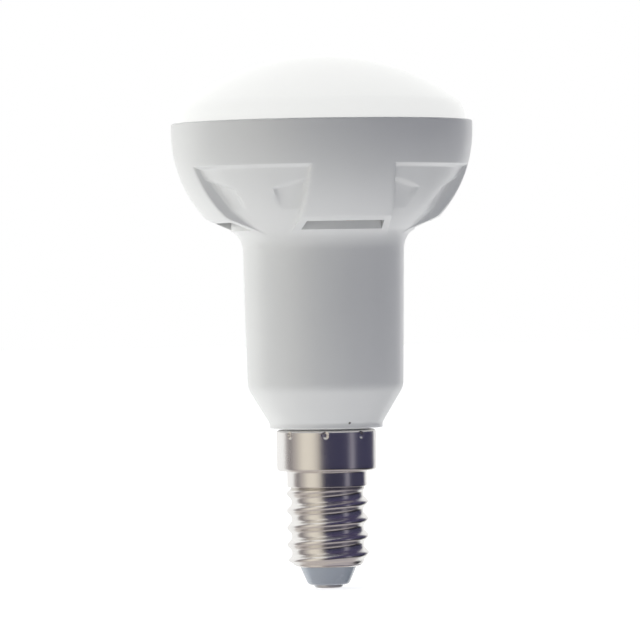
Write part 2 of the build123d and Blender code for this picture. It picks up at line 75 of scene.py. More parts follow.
# Angle between two faces above which their edge is shaded sharp
SHARP_ANGLE = math.radians(38)


def length(name, description, default):
    """Property that holds a length in metres."""
    return bpy.props.FloatProperty(
        name=name, description=description, default=default, unit="LENGTH", precision=5
    )


def point(name, description, default):
    """Property that holds a place in metres."""
    return bpy.props.FloatVectorProperty(
        name=name, description=description, default=default, size=3, subtype="TRANSLATION", unit="LENGTH"
    )


def turn(name, description, degrees):
    """Property that holds an angle, given here in degrees."""
    return bpy.props.FloatProperty(
        name=name, description=description, default=math.radians(degrees), subtype="ANGLE"
    )


def amount(name, description, default):
    """Property that holds a plain number."""
    return bpy.props.FloatProperty(name=name, description=description, default=default)


def whole(name, description, default):
    """Property that holds a count."""
    return bpy.props.IntProperty(name=name, description=description, default=default, min=1)


def tint(name, description, default):
    """Property that holds a linear colour."""
    return bpy.props.FloatVectorProperty(
        name=name, description=description, default=default, size=3, subtype="COLOR", min=0.0, max=1.0
    )


class LampHousing(bpy.types.PropertyGroup):
    """Sizes of the moulded housing."""

    wall: length("Wall", "Thickness of the moulding", 0.0012)
    lip_radius: length("Lip radius", "Radius of the lip above the cap", 0.0094)
    lip_height: length("Lip height", "Height of the lip above the cap", 0.0008)
    lip_edge: length("Lip edge", "Rounding of the lip's lower edge", 0.00015)
    lip_fillet: length("Lip fillet", "Rounding between the lip and the cone", 0.001)
    cone_height: length("Cone height", "Height of the cone above the lip", 0.0059)
    neck_bottom_radius: length("Neck bottom radius", "Radius of the neck at the cone", 0.01295)
    neck_top_radius: length("Neck top radius", "Radius of the neck at the scoops", 0.0134)
    neck_height: length("Neck height", "Height of the neck", 0.025)
    neck_fillet: length("Neck fillet", "Rounding between the cone and the neck", 0.0035)
    flare_fillet: length("Flare fillet", "Rounding between the neck and the scoops", 0.0045)
    spigot_radius: length("Spigot radius", "Radius of the spigot inside the cap", 0.00795)
    groove: length("Groove", "Depth of the groove behind the seam above the cap", 0.0009)
    rim_wall: length("Rim wall", "Thickness of the rim around the dome", 0.00095)
    rim_edge: length("Rim edge", "Rounding of the rim's top edge", 0.00035)
    rim_inner_edge: length("Rim inner edge", "Rounding of the rim's edge at the dome", 0.00015)
    rim_straight: length("Rim straight", "Height of the rim's upright part", 0.0015)
    flange_height: length("Flange height", "Depth of the seat of the dome's flange", 0.0008)
    flange_step: length("Flange step", "Width of the seat of the dome's flange", 0.0006)
    sink_plate: length("Sink plate", "Thickness of the plate on the inner seat", 0.0015)
    bowl_arc: length("Bowl arc", "Radius of the hoods' profile", 0.0212)
    band_height: length("Band height", "Height of the band under the rim", 0.0074)
    scoop_height: length("Scoop height", "Height of the hoods' face under the band", 0.0085)
    scoop_arc: length("Scoop arc", "Radius of the scoops' profile", 0.0283)
    scoop_step: length("Scoop step", "Depth of the ledge under the band", 0.0008)
    scoop_wall: length("Scoop wall", "Thickness of the moulding behind the scoops", 0.0009)
    ledge_slope: turn("Ledge slope", "Slope of the ledge under the band", 25)
    ledge_blend: length("Ledge blend", "Reach of the rounding of the ledge", 0.00015)
    pocket_depth: length("Pocket depth", "Depth of the pockets beside the hoods", 0.0007)
    pocket_drop: length("Pocket drop", "Drop of the pockets' peak below the band", 0.0002)
    pocket_slope: turn("Pocket slope", "Slope of the pockets' top edge", 16.5)
    pocket_half: length("Pocket half width", "Half the width over a pair of pockets", 0.012)
    pocket_foot_half: length("Pocket foot half width", "Half the width at the pockets' foot", 0.0104)
    pocket_rise: length("Pocket rise", "Height of the pockets' foot above the hoods' edge", 0.0013)
    pocket_side_step: length("Pocket side step", "Width of the step at the pockets' side edge", 0.0006)
    pocket_top_step: length("Pocket top step", "Width of the step at the pockets' top edge", 0.0003)
    hood_width: length("Hood width", "Width of a hood at the rim", 0.01372)
    hood_draft: turn("Hood draft", "Widening of a hood towards the neck", 5.5)
    foot_rise: length("Foot rise", "Rise from the neck's top to the hoods' foot", 0.0002)
    underside_rise: length("Underside rise", "Rise of the hoods' underside", 0.0029)
    edge_blend: length("Edge blend", "Reach of the rounding of the hoods' side edges", 0.0003)
    lip_blend: length("Lip blend", "Reach of the rounding of the hoods' lower edge", 0.0001)
    corner_blend: length("Corner blend", "Reach of the rounding of inner corners", 0.0004)
    hood_lip: length("Hood lip", "Width of the lip outside the vent slot", 0.0014)
    slot_gap: length("Slot gap", "Width of the strip inside the vent slot", 0.0018)
    slot_flare: length("Slot flare", "Reach of the slot's inner wall towards the axis", 0.00003)


class LampDome(bpy.types.PropertyGroup):
    """Sizes of the opal dome."""

    side_height: length("Side height", "Height of the arc's corner above the rim", 0.0024)
    shoulder: length("Shoulder", "Rounding between the side and the cap", 0.004)
    wall: length("Wall", "Thickness of the dome", 0.0012)
    flange_height: length("Flange height", "Height of the flange in the rim", 0.0008)
    flange_step: length("Flange step", "Step from the flange to the skirt", 0.0006)
    edge: length("Edge", "Rounding of the flange's edge", 0.00015)


class LampCap(bpy.types.PropertyGroup):
    """Sizes of the screw shell, the insulator and the centre contact."""

    wall: length("Wall", "Thickness of the sheet", 0.0003)
    hole_radius: length("Hole radius", "Radius of the hole at the insulator", 0.00475)
    hem_height: length("Hem height", "Height of the hem's rounding", 0.0012)
    hem_radius: length("Hem radius", "Rounding of the hem", 0.0012)
    root_radius: length("Root radius", "Radius of the thread's root", 0.006)
    thread_depth: length("Thread depth", "Height of the thread's crest", 0.0008)
    pitch: length("Pitch", "Rise of the thread in one turn", 0.002822)
    turns: amount("Turns", "Number of turns of the thread above the hem", 4.258)
    start: turn("Start", "Angle where the thread's crest leaves the hem", 209.5)
    foot: length("Foot", "Height of the thread's foot above the hem's edge", 0.0005)
    runout: length("Run-out", "Height over which the thread rises at the hem", 0.0006)
    fade: length("Fade", "Height over which the thread fades out below the collar", 0.0004)
    crest_power: amount("Crest power", "Narrowness of the thread's crest", 1.5)
    collar_radius: length("Collar radius", "Radius of the collar above the thread", 0.00665)
    collar_height: length("Collar height", "Height of the collar", 0.0027)
    collar_edge: length("Collar edge", "Rounding of the collar's two edges", 0.0003)
    skirt_edge: length("Skirt edge", "Rounding of the skirt's lower edge", 0.0006)
    skirt_top_edge: length("Skirt top edge", "Rounding of the skirt's top edge", 0.00045)
    crimps: whole("Crimps", "Number of punch marks round the skirt", 8)
    crimp_start: turn("Crimp start", "Angle of the first punch mark", 31.2)
    crimp_ball: length("Crimp ball", "Radius of the punch", 0.0008)
    crimp_depth: length("Crimp depth", "Depth of a punch mark", 0.00036)
    crimp_shape: amount("Crimp shape", "Height of a punch mark over its width", 1.35)
    crimp_drop: length("Crimp drop", "Drop of the punch marks below the skirt's top", 0.00075)
    crimp_reach: length("Crimp reach", "Height of the finer rows below the punch marks", 0.0013)
    tip_radius: length("Tip radius", "Radius of the insulator's tip", 0.0034)
    tip_fillet: length("Tip fillet", "Rounding of the insulator's tip", 0.0008)
    cone_radius: length("Cone radius", "Radius of the insulator's cone at the hem", 0.0047)
    rivet_radius: length("Rivet radius", "Radius of the contact's shank", 0.0009)
    rivet_gap: length("Rivet gap", "Gap between the contact's shank and the insulator", 0.00005)
    contact_edge: length("Contact edge", "Rounding of the contact's head", 0.00045)
    seat_edge: length("Seat edge", "Rounding of the head's edge at the insulator", 0.00008)
    clinch_radius: length("Clinch radius", "Radius of the contact's clinched end", 0.0015)
    clinch_height: length("Clinch height", "Height of the contact's clinched end", 0.0006)
    clinch_edge: length("Clinch edge", "Rounding of the clinched end's lower edge", 0.00015)


class LampFinish(bpy.types.PropertyGroup):
    """Colours of the lamp's pieces."""

    # The dome's own colour is kept dark. Most of its brightness comes from a painted glow: emission that
    # stands in for light from behind shining through its wall
    opal: tint("Opal", "Dome", (0.24, 0.2425, 0.2375))
    glow: tint("Glow", "Light that the dome's wall lets through", (0.9, 0.905, 0.89))
    painted_glow_strength: amount("Glow strength", "Strength of the dome's glow", 0.83)
    moulding: tint("Moulding", "Housing", (0.81, 0.815, 0.81))
    speck: tint("Speck", "Dark speck on the cone", (0.12, 0.11, 0.1))
    speck_place: point("Speck place", "Middle of the speck", (0.00187, -0.00937, 0.02745))
    speck_size: length("Speck size", "Radius of the speck", 0.00017)
    nickel: tint("Nickel", "Screw shell", (0.89, 0.875, 0.85))
    insulator: tint("Insulator", "Insulator of the cap", (0.38, 0.42, 0.48))
    contact: tint("Contact", "Centre contact", (0.7, 0.73, 0.75))


class LampStage(bpy.types.PropertyGroup):
    """Camera, floor and lights of the studio."""

    distance: length("Distance", "Distance of the camera", 0.82)
    azimuth: turn("Azimuth", "Turn of the camera about the lamp", -12.7)
    elevation: turn("Elevation", "Tilt of the camera's view", 0.46)
    roll: turn("Roll", "Lean of the lamp in the picture", 0.9)
    aim_height: length("Aim height", "Height of the picture's centre", 0.0444)
    aim_aside: length("Aim aside", "Offset of the picture's centre from the axis", -0.00075)
    lens: amount("Lens", "Focal length in millimetres", 278.0)
    floor_radius: length("Floor radius", "Radius of the floor", 3.0)
    floor_thickness: length("Floor thickness", "Thickness of the floor", 0.02)
    floor_gap: length("Floor gap", "Gap between the contact and the floor", 0.00002)
    ambient: tint("Ambient", "Soft light from the front", (0.006, 0.01, 0.045))
    wrap: tint("Wrap", "Soft light from behind", (0.75, 0.75, 0.75))
    bounce: tint("Bounce", "Soft light that the floor throws up near the lamp", (0.49, 0.495, 0.495))
    card_height: length("Card height", "Height of the middle of the cards' ball", 0.015)
    light_height: length("Light height", "Height of the point that the lights face", 0.05)
    light_reach: length("Light reach", "Distance of the lights", 0.8)


# Surfaces


def arc(centre, radius, start, end, count):
    """Points on an arc about a centre, radius and height, from one angle to another in radians."""
    angles = np.linspace(start, end, count)
    return np.stack([centre[0] + radius * np.cos(angles), centre[1] + radius * np.sin(angles)], axis=1)


def rounded_line(corners, radii, count=7):
    """Line through corners, radius and height, where each inner corner becomes a tangent arc.

    A corner between unit directions a and b, with the angle w between them, gives an arc about the
    point r / sin(w / 2) along their bisector. It starts r / tan(w / 2) along a and ends as far along b."""
    corners = np.asarray(corners, dtype=float)
    pieces = [corners[:1]]
    for before, corner, after, radius in zip(corners, corners[1:], corners[2:], radii):
        leave = (before - corner) / np.linalg.norm(before - corner)
        go = (after - corner) / np.linalg.norm(after - corner)
        half = math.acos(np.clip(leave @ go, -1, 1)) / 2
        middle = corner + (leave + go) / np.linalg.norm(leave + go) * radius / math.sin(half)
        first = corner + leave * radius / math.tan(half) - middle
        last = corner + go * radius / math.tan(half) - middle
        sweep = math.pi - 2 * half
        steps = np.linspace(0, sweep, count)[:, None]
        pieces.append(middle + (first * np.sin(sweep - steps) + last * np.sin(steps)) / math.sin(sweep))
    return np.concatenate([*pieces, corners[-1:]])


def spread(stops, end):
    """Values spread evenly from each stop to the next, as many as the stop says, and the end."""
    starts = [start for start, _ in stops]
    parts = [
        np.linspace(start, following, count, endpoint=False)
        for (start, count), following in zip(stops, [*starts[1:], end])
    ]
    return np.concatenate([*parts, [end]])


def smooth_step(share):
    """Smooth rise from 0 to 1: three squares less two cubes of the share, held between 0 and 1."""
    share = np.clip(share, 0, 1)
    return share * share * (3 - 2 * share)


def soft_max(one, other, blend):
    """Greater of two values, raised by up to a quarter of the blend where they are nearly equal."""
    near = np.maximum(blend - np.abs(one - other), 0) / blend
    return np.maximum(one, other) + near * near * blend / 4


def soft_min(one, other, blend):
    """Smaller of two values, lowered by up to a quarter of the blend where they are nearly equal."""
    return -soft_max(-one, -other, blend)


def ring_quads(rows, columns, closed):
    """Corner numbers of a grid's faces. The columns close into a ring, and the rows too if asked."""
    last = rows if closed else rows - 1
    row, column = np.meshgrid(np.arange(last), np.arange(columns), indexing="ij")
    above = (row + 1) % rows * columns
    beside = (column + 1) % columns
    row = row * columns
    return np.stack([row + column, row + beside, above + beside, above + column], axis=-1)


def ring_points(radius, height, angle):
    """Points at a radius, height and angle, each given as an array that broadcasts to one shape."""
    radius, height, angle = np.broadcast_arrays(radius, height, angle)
    return np.stack([radius * np.cos(angle), radius * np.sin(angle), height], axis=-1)


def add_mesh(name, points, quads, triangles=np.zeros((0, 3), dtype=int)):
    """Adds an object at the origin from arrays of points and faces, smooth except at sharp edges."""
    points = points.reshape(-1, 3)
    quads = quads.reshape(-1, 4)
    corners = np.concatenate([quads.ravel(), triangles.ravel()])
    starts = np.concatenate([np.arange(len(quads)) * 4, quads.size + np.arange(len(triangles)) * 3])
    mesh = bpy.data.meshes.new(name)
    mesh.vertices.add(len(points))
    mesh.vertices.foreach_set("co", points.astype(np.float32).ravel())
    mesh.loops.add(len(corners))
    mesh.loops.foreach_set("vertex_index", corners.astype(np.int32))
    mesh.polygons.add(len(starts))
    mesh.polygons.foreach_set("loop_start", starts.astype(np.int32))
    mesh.update(calc_edges=True)
    if mesh.validate():
        raise RuntimeError(name + " has faulty faces")
    mesh.shade_smooth()
    mesh.set_sharp_from_angle(angle=SHARP_ANGLE)
    piece = bpy.data.objects.new(name, mesh)
    bpy.context.scene.collection.objects.link(piece)
    return piece


def add_turned(name, profile, columns, closed):
    """Adds the surface that a profile of radius and height sweeps in a full turn about Z.

    A closed profile makes a ring. An open one starts and ends on the axis, where fans close the poles."""
    angle = np.linspace(0, 2 * np.pi, columns, endpoint=False)
    body = profile if closed else profile[1:-1]
    points = ring_points(body[:, :1], body[:, 1:], angle)
    quads = ring_quads(len(body), columns, closed)
    if closed:
        return add_mesh(name, points, quads)
    poles = np.array([[0, 0, profile[0, 1]], [0, 0, profile[-1, 1]]])
    count = len(body) * columns
    column = np.arange(columns)
    beside = (column + 1) % columns
    low = np.stack([np.full(columns, count), beside, column], axis=1)
    last = (len(body) - 1) * columns
    high = np.stack([last + column, last + beside, np.full(columns, count + 1)], axis=1)
    return add_mesh(name, np.concatenate([points.reshape(-1, 3), poles]), quads, np.concatenate([low, high]))


def take_over(piece, node, material):
    """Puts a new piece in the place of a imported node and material."""
    piece.data.materials.append(material)
    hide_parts(node)
    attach(piece, "root")


# Materials


def put(tree, kind, values=None, **settings):
    """Adds a shader node, sets its options, and gives values or links to its sockets by name or number."""
    node = tree.nodes.new(kind)
    for name, setting in settings.items():
        setattr(node, name, setting)
    for name, value in (values or {}).items():
        if isinstance(value, bpy.types.NodeSocket):
            tree.links.new(value, node.inputs[name])
        else:
            node.inputs[name].default_value = value
    return node


def calculate(tree, operation, one, other):
    """Output of a Math node on two values or sockets."""
    return put(tree, "ShaderNodeMath", {0: one, 1: other}, operation=operation).outputs[0]


def ramp(tree, value, start, end, low=0.0, high=1.0, kind="LINEAR"):
    """Output of a Map Range node that goes from low at the start to high at the end."""
    values = {"Value": value, "From Min": start, "From Max": end, "To Min": low, "To Max": high}
    return put(tree, "ShaderNodeMapRange", values, interpolation_type=kind).outputs["Result"]


def blend_colours(tree, factor, one, other):
    """Output of a Mix node that goes from one colour to the other."""
    return put(tree, "ShaderNodeMix", {0: factor, 6: one, 7: other}, data_type="RGBA").outputs[2]


def object_place(tree):
    """Output with the place on the object."""
    return put(tree, "ShaderNodeTexCoord").outputs["Object"]


def bare_tree(owner):
    """Node tree of a new material or world, emptied."""
    owner.use_nodes = True
    owner.node_tree.nodes.clear()
    return owner.node_tree


def make_group(name, defaults, results):
    """New shader node group with inputs of these defaults and these values as outputs.

    Returns the group and the sockets that its inputs give inside it."""
    group = bpy.data.node_groups.new(name, "ShaderNodeTree")
    for label, default in defaults.items():
        kind = "NodeSocketVector" if isinstance(default, tuple) else "NodeSocketFloat"
        group.interface.new_socket(label, in_out="INPUT", socket_type=kind).default_value = default
    for label in results:
        group.interface.new_socket(label, in_out="OUTPUT", socket_type="NodeSocketFloat")
    return group, put(group, "NodeGroupInput").outputs


def surface_grain(name):
    """Shared effect: fine grain and broad shade that vary a finish.

    Shade is a value about 1, Roughness lies about its mean, and Height is for a bump."""
    defaults = {
        "Vector": (0.0, 0.0, 0.0),
        "Scale": 2500.0,
        "Shade Spread": 0.02,
        "Roughness Mean": 0.3,
        "Roughness Spread": 0.05,
    }
    group, given = make_group(name, defaults, ("Shade", "Roughness", "Height"))
    place = given["Vector"]
    fine = put(group, "ShaderNodeTexNoise", {"Vector": place, "Scale": given["Scale"], "Detail": 3.0})
    patches = {"Vector": place, "Scale": 90.0, "Detail": 4.0, "Roughness": 0.6}
    broad = put(group, "ShaderNodeTexNoise", patches)
    centred = calculate(group, "SUBTRACT", broad.outputs["Fac"], 0.5)
    double = calculate(group, "MULTIPLY", centred, 2.0)
    shade = calculate(group, "MULTIPLY", double, given["Shade Spread"])
    rough = calculate(group, "MULTIPLY", double, given["Roughness Spread"])
    results = {
        "Shade": calculate(group, "ADD", shade, 1.0),
        "Roughness": calculate(group, "ADD", rough, given["Roughness Mean"]),
        "Height": fine.outputs["Fac"],
    }
    put(group, "NodeGroupOutput", results)
    return group


def drawing_marks(name):
    """Shared effect: marks of drawing along Z, a value that varies round the axis and hardly along it."""
    group, given = make_group(name, {"Vector": (0.0, 0.0, 0.0), "Scale": 900.0}, ("Mark",))
    stretched = {0: given["Vector"], 1: (1.0, 1.0, 0.04)}
    flat = put(group, "ShaderNodeVectorMath", stretched, operation="MULTIPLY").outputs[0]
    streaks = {"Vector": flat, "Scale": given["Scale"], "Detail": 5.0, "Roughness": 0.65}
    marks = put(group, "ShaderNodeTexNoise", streaks)
    put(group, "NodeGroupOutput", {"Mark": marks.outputs["Fac"]})
    return group


def round_spot(name):
    """Shared effect: mask of a round spot, 1 within its size and 0 beyond one and a half times that."""
    defaults = {"Vector": (0.0, 0.0, 0.0), "Place": (0.0, 0.0, 0.0), "Size": 0.0002}
    group, given = make_group(name, defaults, ("Mask",))
    ends = {0: given["Vector"], 1: given["Place"]}
    away = put(group, "ShaderNodeVectorMath", ends, operation="DISTANCE").outputs["Value"]
    edge = calculate(group, "MULTIPLY", given["Size"], 1.5)
    mask = ramp(group, away, given["Size"], edge, 1.0, 0.0, "SMOOTHSTEP")
    put(group, "NodeGroupOutput", {"Mask": mask})
    return group


def shared(tree, effect, values):
    """Places a shared effect in a material. Its group is built at the first use, under the effect's name."""
    group = bpy.data.node_groups.get(effect.__name__) or effect(effect.__name__)
    return put(tree, "ShaderNodeGroup", values, node_tree=group).outputs


def finish(name, colour, rough, grain, shade_spread, rough_spread, bump, metallic=0.0):
    """Material whose colour, roughness and surface vary a little by the shared grain.

    Returns the material and its main shader."""
    material = bpy.data.materials.new(name)
    tree = bare_tree(material)
    amounts = {
        "Vector": object_place(tree),
        "Scale": grain,
        "Shade Spread": shade_spread,
        "Roughness Mean": rough,
        "Roughness Spread": rough_spread,
    }
    varied = shared(tree, surface_grain, amounts)
    shaded = put(tree, "ShaderNodeVectorMath", {0: colour, "Scale": varied["Shade"]}, operation="SCALE")
    relief = put(tree, "ShaderNodeBump", {"Strength": 1.0, "Distance": bump, "Height": varied["Height"]})
    sockets = {
        "Base Color": shaded.outputs[0],
        "Roughness": varied["Roughness"],
        "Metallic": metallic,
        "Normal": relief.outputs["Normal"],
    }
    shader = put(tree, "ShaderNodeBsdfPrincipled", sockets)
    put(tree, "ShaderNodeOutputMaterial", {"Surface": shader.outputs["BSDF"]})
    return material, shader


def set_constants(shader, constants):
    """Sets sockets of a shader that are the same all over the surface."""
    for label, value in constants.items():
        shader.inputs[label].default_value = value


def opal_material(look):
    """Opal plastic: satin and dark in its own colour, with a painted even glow, an emission that stands in
    for the light from behind that its wall lets through.
    """
    material, shader = finish("opal_diffuser", look.opal, 0.45, 1800.0, 0.006, 0.03, 0.000002)
    # Painted glow: emission in place of the light that shines through the dome from behind
    constants = {
        "Subsurface Weight": 0.25,
        "Subsurface Radius": (1.0, 1.0, 0.9),
        "Subsurface Scale": 0.0012,
        "Emission Color": (*look.glow, 1.0),
        "Emission Strength": look.painted_glow_strength,
        "Specular IOR Level": 0.15,
    }
    set_constants(shader, constants)
    return material


def moulding_material(look):
    """White moulding: semi-gloss with a fine grain, and one dark speck low on the cone."""
    material, shader = finish("white_moulding", look.moulding, 0.32, 2200.0, 0.012, 0.04, 0.000003)
    tree = material.node_tree
    spot = {"Vector": object_place(tree), "Place": look.speck_place, "Size": look.speck_size}
    mask = shared(tree, round_spot, spot)["Mask"]
    clean = shader.inputs["Base Color"].links[0].from_socket
    specked = blend_colours(tree, mask, clean, (*look.speck, 1.0))
    tree.links.new(specked, shader.inputs["Base Color"])
    return material


def nickel_material(look):
    """Bright nickel plate: a mirror with faint marks of drawing and patches of haze."""
    material, shader = finish("nickel_plate", look.nickel, 0.26, 1500.0, 0.05, 0.05, 0.000006, 1.0)
    tree = material.node_tree
    marks = shared(tree, drawing_marks, {"Vector": object_place(tree)})
    relief = shader.inputs["Normal"].links[0].from_node
    tree.links.new(marks["Mark"], relief.inputs["Height"])
    return material


def insulator_material(look):
    """Grey moulding of the insulator under a glossy coat."""
    material, shader = finish("insulator_moulding", look.insulator, 0.26, 1600.0, 0.03, 0.05, 0.000003)
    set_constants(shader, {"Coat Weight": 1.0, "Coat Roughness": 0.15})
    return material


def contact_material(look):
    """Tinned metal of the centre contact, dull and a little blotched."""
    return finish("tinned_contact", look.contact, 0.45, 2600.0, 0.06, 0.08, 0.000006, 1.0)[0]


# Pieces


class LAMP_OT_dome(bpy.types.Operator):
    """Build the opal dome."""

    bl_idname = "lamp.dome"
    bl_label = "Opal dome"

    def execute(self, context):
        """Builds the shell as one turned profile: inner cap, skirt, flange and outer cap."""
        sizes = context.scene.lamp_dome
        wall = sizes.wall
        low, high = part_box("diffuser_dome")
        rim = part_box("housing")[1].z
        outer = self.cap(high.z, rim, high.x, sizes.side_height, sizes.shoulder)
        inner = self.cap(high.z - wall, rim, high.x - wall, sizes.side_height - wall, sizes.shoulder - wall)
        flange = rim - sizes.flange_height
        skirt = high.x - sizes.flange_step
        corners = [
            (skirt - wall, rim),
            (skirt - wall, low.z),
            (skirt, low.z),
            (skirt, flange),
            (high.x, flange),
            (high.x, rim),
        ]
        side = rounded_line(corners, [HIDDEN_EDGE, HIDDEN_EDGE, HIDDEN_EDGE, sizes.edge], 4)
        profile = np.concatenate([inner[::-1], side[1:], outer])
        piece = add_turned("opal_dome", profile, 192, False)
        take_over(piece, "diffuser_dome", opal_material(context.scene.lamp_finish))
        return {"FINISHED"}

    def cap(self, apex, rim, radius, side_height, shoulder):
        """Outline from the side up to the apex: an arc through the apex and the side's top corner.

        The arc's radius is (c^2 + h^2) / 2h for its half chord c and its rise h. The shoulder's centre
        lies one shoulder inside both the side and the arc."""
        rise = apex - rim - side_height
        reach = (radius * radius + rise * rise) / (2 * rise)
        centre = apex - reach
        across = radius - shoulder
        up = centre + math.sqrt((reach - shoulder) ** 2 - across**2)
        turned = math.atan2(up - centre, across)
        bend = arc((across, up), shoulder, 0.0, turned, 24)
        crown = arc((0.0, centre), reach, turned, math.pi / 2, 48)
        crown[-1, 0] = 0.0
        return np.concatenate([bend, crown[1:]])


class LAMP_OT_housing(bpy.types.Operator):
    """Build the moulded housing with its hoods, pockets and vent slots."""

    bl_idname = "lamp.housing"
    bl_label = "Moulded housing"

    # Columns in half a quarter: hood face, hood edge, hood wall, pocket, open scoop
    zones = (9, 4, 8, 9, 6)
    least_zone = math.radians(0.9)

    # Share of a radial distance that counts as distance, where the bowl and the core lean
    bowl_lean = 0.93
    core_lean = 0.85

    def execute(self, context):
        """Builds the housing as one closed ring of rows, with holes at the four vent slots."""
        self.sizes = context.scene.lamp_housing
        self.set_levels()
        outside, outside_angles, slot_low, slot_count = self.outside_rows()
        inside, inside_angles, inner_low = self.inside_rows()
        below, rim, under = self.plain_rows(outside, inside)
        parts = [
            (below, outside_angles[:1]),
            (outside, outside_angles),
            (rim, outside_angles[-1:]),
            (inside, inside_angles),
            (under, inside_angles[-1:]),
        ]
        half = sum(self.zones) + 1
        columns = 8 * sum(self.zones)
        radius = np.concatenate([np.broadcast_to(rows[..., 0], (len(rows), half)) for rows, _ in parts])
        height = np.concatenate([np.broadcast_to(rows[..., 1], (len(rows), half)) for rows, _ in parts])
        angle = np.concatenate([np.broadcast_to(angles, (len(rows), half)) for rows, angles in parts])
        points = ring_points(self.mirror(radius), self.mirror(height), self.spin(angle))
        quads = ring_quads(len(radius), columns, True)
        first_inside = len(below) + len(outside) + len(rim)
        quads = self.cut_slots(quads, len(below) + slot_low, slot_count, first_inside + inner_low, columns)
        piece = add_mesh("moulded_housing", points, quads)
        take_over(piece, "housing", moulding_material(context.scene.lamp_finish))
        return {"FINISHED"}

    def set_levels(self):
        """Heights of the housing's features, down from its rim."""
        sizes = self.sizes
        low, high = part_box("housing")
        self.spigot = low.z
        self.rim = high.z
        self.rim_radius = high.x
        self.ledge = self.rim - sizes.band_height
        self.eaves = self.ledge - sizes.pocket_drop - sizes.pocket_half * math.tan(sizes.pocket_slope)
        self.hood_edge = self.ledge - sizes.scoop_height
        self.hood_foot = self.hood_edge - sizes.underside_rise
        self.neck_top = self.hood_foot - sizes.foot_rise
        self.cone = self.neck_top - sizes.neck_height
        self.lip = self.cone - sizes.cone_height
        self.neck_bottom = self.lip - sizes.lip_height
        self.sink_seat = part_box("heat_sink")[1].z - sizes.sink_plate
        foot = np.array([sizes.neck_top_radius, self.neck_top])
        top = np.array([self.bowl(self.ledge) - sizes.scoop_step, self.ledge])
        chord = top - foot
        rise = math.sqrt(sizes.scoop_arc**2 - chord @ chord / 4)
        across = np.array([-chord[1], chord[0]]) / np.linalg.norm(chord)
        self.scoop_centre = (foot + top) / 2 + across * rise
        self.under_slope = sizes.underside_rise / (self.bowl(self.hood_edge) - sizes.neck_top_radius)
        self.half_width = sizes.hood_width / 2 + self.rim_radius * math.tan(sizes.hood_draft)
        self.taper = (sizes.neck_top_radius - sizes.neck_bottom_radius) / sizes.neck_height
        self.slot_inner = sizes.neck_top_radius + sizes.slot_gap
        self.slot_outer = self.bowl(self.hood_edge) - sizes.hood_lip

    def bowl(self, level, inset=0.0):
        """Radius of the hoods and the band: an arc that runs up into the straight rim."""
        below = np.maximum(self.rim - self.sizes.rim_straight - level, 0)
        return self.rim_radius - self.sizes.bowl_arc + np.sqrt((self.sizes.bowl_arc - inset) ** 2 - below**2)

    def scoop(self, level, inset=0.0):
        """Radius of the scoops' floor: an arc about its centre, cut off above the ledge."""
        away = np.minimum(level, self.ledge) - self.scoop_centre[1]
        return self.scoop_centre[0] + np.sqrt(np.maximum((self.sizes.scoop_arc - inset) ** 2 - away**2, 0))

    def neck(self, level):
        """Radius of the neck: a slight taper."""
        return self.sizes.neck_top_radius + self.taper * (level - self.neck_top)

    def underside(self, radius):
        """Level of the hoods' underside, a cone that rises outwards from the hoods' foot."""
        return self.hood_foot + (radius - self.sizes.neck_top_radius) * self.under_slope

    def core(self, level):
        """Radius of the neck and the scoops with the flare's arc between them.

        The flare's centre lies one fillet outside the neck's line and outside the scoop's arc. It is
        found by stepping its height to the scoop's offset arc over the neck's offset line."""
        fillet = self.sizes.flare_fillet
        offset = self.sizes.scoop_arc + fillet
        middle = self.neck_top
        for _ in range(30):
            across = self.neck(middle) + fillet
            middle = self.scoop_centre[1] - math.sqrt(offset**2 - (across - self.scoop_centre[0]) ** 2)
        spoke = np.array([across, middle]) - self.scoop_centre
        touch = self.scoop_centre + spoke * self.sizes.scoop_arc / np.linalg.norm(spoke)
        flare = across - np.sqrt(np.maximum(fillet**2 - (level - middle) ** 2, 0))
        upper = np.where(level < touch[1], flare, self.scoop(level))
        return np.where(level < middle, self.neck(level), upper)

    def wall_angle(self, radius, inset=0.0):
        """Angle from a hood's middle to its side wall at a radius."""
        draft = self.sizes.hood_draft
        return np.arcsin(np.clip((self.half_width - inset) * math.cos(draft) / radius, 0, 1)) - draft

    def zone_angles(self, limits):
        """Angles of the columns in half a quarter, crowded towards the limits of the zones."""
        parts = []
        for low, high, count in zip(limits, limits[1:], self.zones):
            share = (1 - np.cos(np.pi * np.arange(count) / count)) / 2
            parts.append(low[:, None] + (high - low)[:, None] * share)
        return np.concatenate([*parts, limits[-1][:, None]], axis=1)

    def pocket_side(self, level):
        """Distance of the pockets' side edge from the hood's middle plane, which narrows to the foot."""
        sizes = self.sizes
        foot = self.hood_edge + sizes.pocket_rise
        share = np.clip((level - foot) / (self.eaves - foot), 0, 1)
        return sizes.pocket_foot_half + (sizes.pocket_half - sizes.pocket_foot_half) * share

    def recess(self, angle, level):
        """Depth of the pockets in the scoops' floor.

        A pocket's floor is a cone from the foot, where it fades out, to its full depth at the peak. The
        depth falls to nothing in a smooth step at the side edge and at the sloping top edge."""
        sizes = self.sizes
        peak = self.ledge - sizes.pocket_drop
        foot = self.hood_edge + sizes.pocket_rise
        slope = (self.scoop(peak) - sizes.pocket_depth - self.scoop(foot)) / (peak - foot)
        depth = np.maximum(self.core(level) - self.scoop(foot) - slope * (level - foot), 0)
        aside = self.core(level) * np.sin(angle)
        under = (peak - level) * math.cos(sizes.pocket_slope) - aside * math.sin(sizes.pocket_slope)
        side = smooth_step((self.pocket_side(level) - aside) / sizes.pocket_side_step + 0.5)
        top = smooth_step(under / sizes.pocket_top_step + 0.5)
        return depth * side * top

